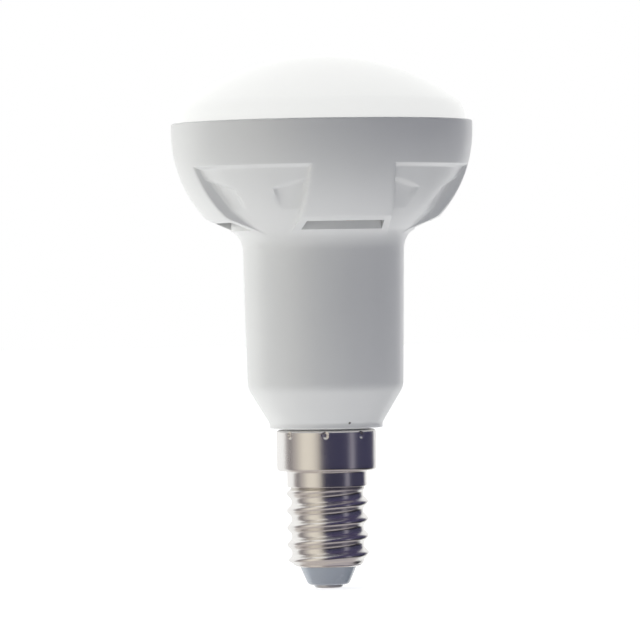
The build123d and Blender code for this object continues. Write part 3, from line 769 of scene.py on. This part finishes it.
    def gap(self, radius, angle, level):
        """Distance outside the moulding, negative inside it.

        The core, less the pockets, is joined to the band and the hoods. A hood is the part of the bowl
        between two side planes and above the underside's cone. Every join is a soft minimum and every
        cut a soft maximum, so that edges and corners are round."""
        sizes = self.sizes
        aside = radius * np.sin(angle)
        out = radius * np.cos(angle)
        bowl = (radius - self.bowl(level)) * self.bowl_lean
        side = (aside + out * math.tan(sizes.hood_draft) - self.half_width) * math.cos(sizes.hood_draft)
        underside = (self.underside(radius) - level) / math.hypot(1, self.under_slope)
        hood = soft_max(soft_max(bowl, side, sizes.edge_blend), underside, sizes.lip_blend)
        inward = self.bowl(self.ledge) - radius
        shelf = (self.ledge - level) * math.cos(sizes.ledge_slope) - inward * math.sin(sizes.ledge_slope)
        band = soft_max(bowl, shelf, sizes.ledge_blend)
        core = (radius - self.core(level) + self.recess(angle, level)) * self.core_lean
        shelf_foot = self.ledge - sizes.scoop_step * math.tan(sizes.ledge_slope)
        blend = np.clip((shelf_foot - level) / 2, sizes.ledge_blend, sizes.corner_blend)
        return soft_min(core, np.minimum(band, hood), blend)

    def outside_rows(self):
        """Rows of the outside from the flare to the rim, their angles, the slot's first row and its count.

        The surface lies where the gap is nothing, which halving a span of radii finds for all points."""
        sizes = self.sizes
        # Levels where the spacing of the rows changes, with the number of rows up to the next one
        stops = [
            (self.neck_top - 0.0032, 20),
            (self.hood_foot, 6),
            (self.underside(self.slot_inner), 8),
            (self.underside(self.slot_outer), 9),
            (self.hood_edge, 9),
            (self.hood_edge + 0.0008, 14),
            (self.eaves - 0.0003, 24),
            (self.eaves + 0.0018, 10),
            (self.ledge - 0.0006, 20),
            (self.ledge + 0.0004, 14),
        ]
        level = spread(stops, self.rim - sizes.rim_edge)
        under = sizes.neck_top_radius + (level - self.hood_foot) / self.under_slope
        face = np.where(level < self.hood_edge, np.maximum(under, sizes.neck_top_radius), self.bowl(level))
        floor = self.core(level)
        edge = self.wall_angle(face)
        root = np.maximum(self.wall_angle(floor), edge + self.least_zone)
        quarter = np.full(len(level), np.pi / 4)
        pocket = np.arcsin(np.clip(self.pocket_side(level) / floor, 0, 1))
        pocket = np.clip(pocket, root + 3 * self.least_zone, quarter - 3 * self.least_zone)
        limits = [np.zeros(len(level)), self.wall_angle(face, sizes.wall), edge, root, pocket, quarter]
        angles = self.zone_angles(limits)
        heights = np.broadcast_to(level[:, None], angles.shape)
        near = np.full(angles.shape, sizes.neck_bottom_radius / 2)
        far = np.full(angles.shape, self.rim_radius * 1.1)
        for _ in range(40):
            middle = (near + far) / 2
            within = self.gap(middle, angles, heights) < 0
            near = np.where(within, middle, near)
            far = np.where(within, far, middle)
        slot_low = sum(count for _, count in stops[:2])
        return np.stack([near, heights], axis=-1), angles, slot_low, stops[2][1]

    def inside_rows(self):
        """Rows of the inside from the sink's seat down to the flare, their angles and the slot's last row.

        The inside of a hood is one wall in from its face, its underside and its side planes."""
        sizes = self.sizes
        wall = sizes.wall
        lift = wall * math.hypot(1, self.under_slope)
        slot_high = self.underside(self.slot_outer) + lift
        across = self.slot_inner - sizes.slot_flare - self.scoop_centre[0]
        slot_low = self.scoop_centre[1] - math.sqrt((sizes.scoop_arc - sizes.scoop_wall) ** 2 - across**2)
        # Levels where the spacing of the rows changes, with the number of rows down to the next one
        stops = [(self.sink_seat - wall, 10), (slot_high + 0.0008, 4), (slot_high, 8), (slot_low, 8)]
        level = spread(stops, self.neck_top - 0.0012)
        core = np.maximum(self.scoop(level, sizes.scoop_wall), self.neck(level) - wall)
        throat = self.scoop(self.ledge - wall, sizes.scoop_wall)
        core = np.where(level > self.ledge - wall, throat, core)
        under = sizes.neck_top_radius + (level - self.hood_foot - lift) / self.under_slope
        face = np.maximum(np.minimum(self.bowl(level, wall), under), core)
        edge = self.wall_angle(face, wall)
        root = np.maximum(self.wall_angle(core, wall), edge + self.least_zone)
        quarter = np.full(len(level), np.pi / 4)
        even = [root + (quarter - root) * share for share in (0.3, 0.65)]
        angles = self.zone_angles([np.zeros(len(level)), edge, root, *even, quarter])
        side = (self.half_width - wall) * math.cos(sizes.hood_draft) / np.sin(angles + sizes.hood_draft)
        radius = np.maximum(core[:, None], np.minimum(face[:, None], side))
        heights = np.broadcast_to(level[:, None], angles.shape)
        slot_last = sum(count for _, count in stops[:3])
        return np.stack([radius, heights], axis=-1), angles, slot_last

    def plain_rows(self, outside, inside):
        """Rows that are true rings: below the flare, over the rim, and up the inside to the spigot."""
        sizes = self.sizes
        bore = sizes.spigot_radius - sizes.wall
        groove_radius = sizes.spigot_radius - sizes.groove
        groove_foot = self.neck_bottom - sizes.groove
        corners = [
            (bore, self.spigot),
            (sizes.spigot_radius, self.spigot),
            (sizes.spigot_radius, groove_foot),
            (groove_radius, groove_foot),
            (groove_radius, self.neck_bottom),
            (sizes.lip_radius, self.neck_bottom),
            (sizes.lip_radius, self.lip),
            (sizes.neck_bottom_radius, self.cone),
            tuple(outside[0, 0]),
        ]
        groove_edges = [HIDDEN_EDGE / 2] * 3
        edges = [HIDDEN_EDGE, *groove_edges, sizes.lip_edge, sizes.lip_fillet, sizes.neck_fillet]
        below = rounded_line(corners, edges)[1:-1]
        seat = self.rim - sizes.flange_height
        flange = self.rim_radius - sizes.rim_wall
        skirt = flange - sizes.flange_step
        throat = inside[0, -1, 0]
        corners = [
            (self.rim_radius, self.rim - 2 * sizes.rim_edge),
            (self.rim_radius, self.rim),
            (flange, self.rim),
            (flange, seat),
            (skirt, seat),
            (skirt, self.sink_seat),
            (throat, self.sink_seat),
            (throat, inside[0, 0, 1]),
        ]
        over = rounded_line(corners, [sizes.rim_edge, sizes.rim_inner_edge, *[HIDDEN_EDGE] * 4])[1:]
        under = np.array(
            [
                (sizes.neck_bottom_radius - sizes.wall, self.cone + 0.001),
                (bore, self.lip + sizes.wall),
                (bore, self.spigot + 2 * HIDDEN_EDGE),
            ]
        )
        return below[:, None, :], over[:, None, :], under[:, None, :]

    def mirror(self, half):
        """Values of the whole ring from those of half a quarter."""
        return np.tile(np.concatenate([half[:, :0:-1], half[:, :-1]], axis=1), (1, 4))

    def spin(self, half):
        """Angles of the whole ring from those of half a quarter."""
        quarter = np.concatenate([-half[:, :0:-1], half[:, :-1]], axis=1)
        return np.concatenate([quarter + step * np.pi / 2 for step in range(4)], axis=1)

    def cut_slots(self, quads, low, rows, inner_low, columns):
        """Faces with the four vent slots opened and walled.

        The slot's rows rise from its lowest on the outside and sink to its lowest on the inside. Each
        wall runs from the hole's edge outside to the same step of its edge inside."""
        middle = sum(self.zones)
        reach = self.zones[0]
        keep = np.ones(quads.shape[:2], dtype=bool)
        walls = []
        across = np.arange(-reach, reach + 1)
        up = np.arange(rows + 1)
        level = np.zeros(2 * reach, dtype=int)
        steps = np.concatenate([level, up[:-1], level + rows, up[:0:-1]])
        places = np.concatenate([across[:-1], np.full(rows, reach), across[:0:-1], np.full(rows, -reach)])
        for quarter in range(4):
            column = quarter * 2 * middle + middle
            keep[low : low + rows, column - reach : column + reach] = False
            keep[inner_low - rows : inner_low, column - reach : column + reach] = False
            outer = (low + steps) * columns + column + places
            inner = (inner_low - steps) * columns + column + places
            walls.append(np.stack([outer, np.roll(outer, -1), np.roll(inner, -1), inner], axis=1))
        return np.concatenate([quads[keep], *walls])


class LAMP_OT_screw_shell(bpy.types.Operator):
    """Build the drawn screw shell of the cap."""

    bl_idname = "lamp.screw_shell"
    bl_label = "Screw shell"

    columns = 360
    thread_rows = 150

    def execute(self, context):
        """Builds the shell as a closed ring of rows, with the thread added and the punch marks cut."""
        self.sizes = context.scene.lamp_cap
        self.low, self.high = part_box("screw_shell")
        self.thread_level = self.low.z + self.sizes.hem_height
        self.collar_level = self.thread_level + self.sizes.turns * self.sizes.pitch
        self.skirt_level = self.collar_level + self.sizes.collar_height
        threaded = self.threaded_rows()
        plain = self.collar_rows()
        punched = self.skirt_rows()
        profile = np.concatenate([threaded, plain, punched, self.inner_rows()])
        angle = np.linspace(0, 2 * np.pi, self.columns, endpoint=False)
        height = profile[:, 1:]
        radius = np.repeat(profile[:, :1], self.columns, axis=1)
        rows = slice(0, len(threaded))
        radius[rows] += self.thread(height[rows], angle)
        rows = slice(len(threaded) + len(plain), len(threaded) + len(plain) + len(punched))
        radius[rows] -= self.punch_marks(height[rows], angle)
        points = ring_points(radius, height, angle)
        piece = add_mesh("rolled_shell", points, ring_quads(len(profile), self.columns, True))
        take_over(piece, "screw_shell", nickel_material(context.scene.lamp_finish))
        return {"FINISHED"}

    def threaded_rows(self):
        """Rows of the round hem and of the thread's root, up to the collar."""
        sizes = self.sizes
        root = sizes.root_radius
        corners = [(sizes.hole_radius, self.low.z), (root, self.low.z), (root, self.thread_level)]
        hem = rounded_line(corners, [sizes.hem_radius], 30)[1:]
        levels = np.linspace(self.thread_level, self.collar_level, self.thread_rows, endpoint=False)[1:]
        return np.concatenate([hem, np.stack([np.full(len(levels), root), levels], axis=1)])

    def collar_rows(self):
        """Rows of the collar and of the skirt's lower edge."""
        sizes = self.sizes
        corners = [
            (sizes.root_radius, self.collar_level),
            (sizes.collar_radius, self.collar_level),
            (sizes.collar_radius, self.skirt_level),
            (self.high.x, self.skirt_level),
            (self.high.x, self.skirt_level + 2 * sizes.skirt_edge),
        ]
        return rounded_line(corners, [sizes.collar_edge, sizes.collar_edge, sizes.skirt_edge], 9)[1:]

    def skirt_rows(self):
        """Rows of the punched part of the skirt and of its round top edge."""
        sizes = self.sizes
        top = self.high.z
        start = top - sizes.crimp_drop - sizes.crimp_reach
        levels = np.linspace(start, top - sizes.skirt_top_edge, 28)
        straight = np.stack([np.full(len(levels), self.high.x), levels], axis=1)
        corners = [straight[-2], (self.high.x, top), (self.high.x - sizes.wall, top)]
        crown = rounded_line(corners, [sizes.skirt_top_edge], 9)
        return np.concatenate([straight[:-1], crown[1:]])

    def inner_rows(self):
        """Rows of the inside, down from the skirt to the hole at the insulator."""
        sizes = self.sizes
        wall = sizes.wall
        return np.array(
            [
                (self.high.x - wall, self.skirt_level + wall),
                (sizes.collar_radius - wall, self.skirt_level + wall),
                (sizes.collar_radius - wall, self.collar_level),
                (sizes.root_radius - wall, self.collar_level),
                (sizes.root_radius - wall, self.low.z + wall),
                (sizes.hole_radius, self.low.z + wall),
                (sizes.hole_radius, self.low.z + HIDDEN_EDGE),
            ]
        )

    def thread(self, height, angle):
        """Rise of the thread above its root: depth * (half the cosine of the phase plus one half) ^ power.

        The phase is 2 pi z / pitch less the angle, so that the crest climbs to the right. The thread
        rises from its foot over the run-out, so that the hem carries its end, and fades at the collar."""
        sizes = self.sizes
        phase = 2 * np.pi * (height - self.thread_level) / sizes.pitch - (angle - sizes.start)
        crest = (0.5 + 0.5 * np.cos(phase)) ** sizes.crest_power
        risen = np.clip((height - self.low.z - sizes.foot) / sizes.runout, 0, 1)
        faded = np.clip((self.collar_level - height) / sizes.fade, 0, 1)
        return sizes.thread_depth * crest * risen * faded

    def punch_marks(self, height, angle):
        """Depth of the punch marks: the cut of a ball, made narrow, at even steps round the skirt."""
        sizes = self.sizes
        step = 2 * np.pi / sizes.crimps
        aside = ((angle - sizes.crimp_start + step / 2) % step - step / 2) * self.high.x
        away = np.hypot(aside * sizes.crimp_shape, height - (self.high.z - sizes.crimp_drop))
        ball = np.sqrt(np.maximum(sizes.crimp_ball**2 - away**2, 0))
        return np.maximum(ball - sizes.crimp_ball + sizes.crimp_depth, 0)


class LAMP_OT_cap_end(bpy.types.Operator):
    """Build the insulator and the centre contact at the cap's end."""

    bl_idname = "lamp.cap_end"
    bl_label = "Cap end"

    def execute(self, context):
        """Builds the insulator as a turned ring and the contact as a turned rivet."""
        sizes = context.scene.lamp_cap
        look = context.scene.lamp_finish
        low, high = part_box("cap_insulator")
        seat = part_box("screw_shell")[0].z + sizes.wall
        hole = sizes.rivet_radius + sizes.rivet_gap
        corners = [
            (hole, low.z),
            (sizes.tip_radius, low.z),
            (sizes.cone_radius, seat - sizes.wall),
            (sizes.cone_radius, seat),
            (high.x, seat),
            (high.x, high.z),
            (hole, high.z),
            (hole, low.z + HIDDEN_EDGE),
        ]
        cone_edge = 2 * HIDDEN_EDGE
        edges = [sizes.tip_fillet, cone_edge, HIDDEN_EDGE, HIDDEN_EDGE, cone_edge, HIDDEN_EDGE]
        insulator = add_turned("insulator_cone", rounded_line(corners, edges), 128, True)
        take_over(insulator, "cap_insulator", insulator_material(look))
        head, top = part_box("centre_contact")
        clinch = top.z - sizes.clinch_height
        corners = [
            (0, head.z),
            (top.x, head.z),
            (top.x, low.z),
            (sizes.rivet_radius, low.z),
            (sizes.rivet_radius, clinch),
            (sizes.clinch_radius, clinch),
            (sizes.clinch_radius, top.z),
            (0, top.z),
        ]
        shank_edge = HIDDEN_EDGE / 2
        edges = [sizes.contact_edge, sizes.seat_edge, shank_edge, shank_edge, sizes.clinch_edge, cone_edge]
        contact = add_turned("contact_rivet", rounded_line(corners, edges), 96, False)
        take_over(contact, "centre_contact", contact_material(look))
        return {"FINISHED"}


class LAMP_OT_inner_finishes(bpy.types.Operator):
    """Give the pieces inside the lamp their materials."""

    bl_idname = "lamp.inner_finishes"
    bl_label = "Inner finishes"

    def execute(self, context):
        """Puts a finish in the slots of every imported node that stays."""
        for name, (colour, rough, metallic, nodes) in INNER_FINISHES.items():
            material = finish(name, colour, rough, 3000.0, 0.08, 0.08, 0.000006, metallic)[0]
            for node in nodes:
                slots = bpy.data.objects[node].data.materials
                slots.clear()
                slots.append(material)
        return {"FINISHED"}


class LAMP_OT_studio(bpy.types.Operator):
    """Build the floor, the lights, the cards and the camera."""

    bl_idname = "lamp.studio"
    bl_label = "Studio"

    def execute(self, context):
        """Builds the studio round the lamp and points the camera."""
        self.stage = context.scene.lamp_stage
        context.scene.view_settings.view_transform = "Standard"
        self.aim = math.radians(-90) + self.stage.azimuth
        self.add_world(context.scene)
        self.add_floor()
        self.add_cards()
        self.add_lights()
        self.add_camera(context.scene)
        return {"FINISHED"}

    def seen(self, tree):
        """Value that is 1 for the rays that show the background: camera, glossy and transmission rays."""
        rays = put(tree, "ShaderNodeLightPath").outputs
        shown = calculate(tree, "MAXIMUM", rays["Is Camera Ray"], rays["Is Glossy Ray"])
        return calculate(tree, "MAXIMUM", shown, rays["Is Transmission Ray"])

    def add_world(self, scene):
        """White background, and a soft light that is stronger from behind the lamp."""
        world = bpy.data.worlds.new("studio")
        tree = bare_tree(world)
        back = (-math.cos(self.aim), -math.sin(self.aim), 0.0)
        way = put(tree, "ShaderNodeTexCoord").outputs["Generated"]
        along = put(tree, "ShaderNodeVectorMath", {0: way, 1: back}, operation="DOT_PRODUCT")
        behind = ramp(tree, along.outputs["Value"], 0.1, 0.8, kind="SMOOTHSTEP")
        soft = blend_colours(tree, behind, (*self.stage.ambient, 1.0), (*self.stage.wrap, 1.0))
        shown = blend_colours(tree, self.seen(tree), soft, (1.0, 1.0, 1.0, 1.0))
        light = put(tree, "ShaderNodeBackground", {"Color": shown, "Strength": 1.0})
        put(tree, "ShaderNodeOutputWorld", {"Surface": light.outputs["Background"]})
        scene.world = world

    def add_floor(self):
        """Pale round floor just under the contact.

        It shows white further out, keeps its shadow near the lamp and throws a soft light up there."""
        stage = self.stage
        top = -stage.floor_gap
        bottom = top - stage.floor_thickness
        profile = [(0, bottom), (stage.floor_radius, bottom), (stage.floor_radius, top), (0, top)]
        floor = add_turned("floor", np.array(profile), 128, False)
        material = bpy.data.materials.new("floor")
        tree = bare_tree(material)
        pale = put(tree, "ShaderNodeBsdfDiffuse", {"Color": (0.9, 0.9, 0.9, 1.0)})
        away = put(tree, "ShaderNodeVectorMath", {0: object_place(tree)}, operation="LENGTH")
        white = ramp(tree, away.outputs["Value"], 0.05, 0.4, 0.7, 1.0)
        near = ramp(tree, away.outputs["Value"], 0.05, 0.3, 1.0, 0.0)
        lit = put(tree, "ShaderNodeVectorMath", {0: stage.bounce, "Scale": near}, operation="SCALE")
        thrown = blend_colours(tree, self.seen(tree), lit.outputs[0], white)
        glow = put(tree, "ShaderNodeEmission", {"Color": thrown, "Strength": 1.0})
        both = put(tree, "ShaderNodeAddShader", {0: pale.outputs[0], 1: glow.outputs[0]})
        put(tree, "ShaderNodeOutputMaterial", {"Surface": both.outputs[0]})
        floor.data.materials.append(material)
        floor.visible_glossy = False

    def add_card(self, name, colour, edge, fade, start, end, low, high, reach=0.6):
        """Card round the lamp between two azimuths and two elevations, seen in reflections only.

        It is part of a ball about the cap, so that it looks the same from every turn of the thread.
        Azimuths run from the camera's direction, positive to the right of the picture. Its colour goes
        over to the edge's colour within the fade, a share of its width, at both sides."""
        across = np.linspace(0, 1, 60)
        turned = np.radians(start + (end - start) * across) + self.aim
        profile = arc((0.0, self.stage.card_height), reach, math.radians(low), math.radians(high), 32)
        points = ring_points(profile[:, :1], profile[:, 1:], turned)
        card = add_mesh(name, points, ring_quads(len(profile), len(across), False)[:, :-1])
        inner = np.clip(np.minimum(across, 1 - across) / fade, 0, 1)
        share = card.data.attributes.new("share", "FLOAT", "POINT")
        share.data.foreach_set("value", np.tile(inner, len(profile)).astype(np.float32))
        material = bpy.data.materials.new(name)
        tree = bare_tree(material)
        factor = put(tree, "ShaderNodeAttribute", attribute_name="share").outputs["Fac"]
        mixed = blend_colours(tree, factor, (*edge, 1.0), (*colour, 1.0))
        glow = put(tree, "ShaderNodeEmission", {"Color": mixed, "Strength": 1.0})
        put(tree, "ShaderNodeOutputMaterial", {"Surface": glow.outputs[0]})
        card.data.materials.append(material)
        card.visible_camera = False
        card.visible_diffuse = False
        card.visible_shadow = False
        card.visible_transmission = False

    def add_cards(self):
        """Cards that the metal mirrors.

        To the right stands a dark side in three bands with a thin strip before it, to the left a pale
        window and a grey side. The floor is pale below the left and shaded below the right."""
        low = (0.016, 0.015, 0.022)
        side = (0.12, 0.11, 0.15)
        floor = (0.52, 0.47, 0.45)
        shade = (0.43, 0.395, 0.41)
        self.add_card("low_dark_card", low, low, 0.05, -14, 139, -38, -9)
        self.add_card("dark_card", (0.052, 0.05, 0.096), side, 0.05, -14, 139, -9, 25)
        self.add_card("high_dark_card", (0.062, 0.053, 0.11), side, 0.05, -14, 139, 25, 88)
        self.add_card("grey_card", (0.22, 0.2, 0.205), (0.5, 0.46, 0.45), 0.4, -110, -76, -38, 60)
        self.add_card("window_card", (0.78, 0.725, 0.64), (0.4, 0.365, 0.34), 0.3, -76, -14, -38, 60)
        self.add_card("strip_card", (0.37, 0.35, 0.41), (0.1, 0.1, 0.15), 0.4, 53, 69, -20, 40, 0.58)
        self.add_card("floor_card", floor, floor, 0.1, -221, -14, -89.9, -38)
        self.add_card("shaded_floor_card", shade, shade, 0.1, -14, 139, -89.9, -38)

    def add_light(self, name, power, size, azimuth, elevation, colour):
        """Square soft light that faces the lamp from an azimuth and an elevation, not seen in reflections."""
        lamp = bpy.data.lights.new(name, "AREA")
        lamp.energy = power
        lamp.size = size
        lamp.color = colour
        light = bpy.data.objects.new(name, lamp)
        turned = math.radians(azimuth) + self.aim
        raised = math.radians(elevation)
        level = math.cos(raised)
        way = Vector((math.cos(turned) * level, math.sin(turned) * level, math.sin(raised)))
        light.location = way * self.stage.light_reach + Vector((0, 0, self.stage.light_height))
        light.rotation_euler = way.to_track_quat("Z", "Y").to_euler()
        light.visible_glossy = False
        bpy.context.scene.collection.objects.link(light)

    def add_lights(self):
        """Soft lights: two from the left, a faint one from behind on the right, and one from above."""
        self.add_light("left_back_light", 3.1, 0.5, -112, 5, (1.0, 1.0, 0.95))
        self.add_light("left_front_light", 1.55, 0.5, -58, 5, (1.0, 0.995, 0.88))
        self.add_light("right_back_light", 2.35, 0.5, 148, 5, (1.0, 1.0, 1.0))
        self.add_light("top_light", 2.2, 0.6, 0, 88, (1.0, 1.0, 0.98))

    def add_camera(self, scene):
        """Long lens, level with the lamp, leant a little as in the photograph."""
        stage = self.stage
        view = bpy.data.cameras.new("camera")
        view.lens = stage.lens
        view.clip_start = 0.01
        view.clip_end = 20.0
        camera = bpy.data.objects.new("camera", view)
        level = math.cos(stage.elevation)
        right = Vector((math.cos(stage.azimuth), math.sin(stage.azimuth), 0.0))
        back = Vector((right.y * level, -right.x * level, math.sin(stage.elevation)))
        middle = right * stage.aim_aside + Vector((0.0, 0.0, stage.aim_height))
        facing = back.to_track_quat("Z", "Y").to_matrix() @ Matrix.Rotation(-stage.roll, 3, "Z")
        camera.matrix_world = Matrix.Translation(middle + back * stage.distance) @ facing.to_4x4()
        scene.collection.objects.link(camera)
        scene.camera = camera


class LAMP_PT_sidebar(bpy.types.Panel):
    """Panel with the lamp's sizes and steps."""

    bl_idname = "LAMP_PT_sidebar"
    bl_label = "Reflector lamp"
    bl_space_type = "VIEW_3D"
    bl_region_type = "UI"
    bl_category = "Lamp"

    def draw(self, context):
        """Lists the steps in order and the sizes below them."""
        for step in STEPS:
            self.layout.operator(step.bl_idname)
        for group in GROUPS:
            box = self.layout.box()
            box.label(text=group)
            sizes = getattr(context.scene, group)
            for name in sizes.bl_rna.properties.keys():
                if name not in {"rna_type", "name"}:
                    box.prop(sizes, name)


GROUPS = {
    "lamp_housing": LampHousing,
    "lamp_dome": LampDome,
    "lamp_cap": LampCap,
    "lamp_finish": LampFinish,
    "lamp_stage": LampStage,
}
STEPS = (
    LAMP_OT_dome,
    LAMP_OT_housing,
    LAMP_OT_screw_shell,
    LAMP_OT_cap_end,
    LAMP_OT_inner_finishes,
    LAMP_OT_studio,
)


def register():
    """Registers the sizes, the steps and the panel."""
    for group in GROUPS.values():
        bpy.utils.register_class(group)
    for name, group in GROUPS.items():
        setattr(bpy.types.Scene, name, bpy.props.PointerProperty(type=group))
    for step in STEPS:
        bpy.utils.register_class(step)
    bpy.utils.register_class(LAMP_PT_sidebar)


def unregister():
    """Takes the panel, the steps and the sizes away again."""
    bpy.utils.unregister_class(LAMP_PT_sidebar)
    for step in reversed(STEPS):
        bpy.utils.unregister_class(step)
    for name, group in reversed(GROUPS.items()):
        delattr(bpy.types.Scene, name)
        bpy.utils.unregister_class(group)


def plain(corners):
    """Corners as plain lists."""
    return [list(corner) for corner in corners]


def main():
    """Runs every step in order."""
    register()
    bpy.ops.lamp.dome()
    bpy.ops.lamp.housing()
    bpy.ops.lamp.screw_shell()
    bpy.ops.lamp.cap_end()
    bpy.ops.lamp.inner_finishes()
    bpy.ops.lamp.studio()


if __name__ == "__main__":
    main()
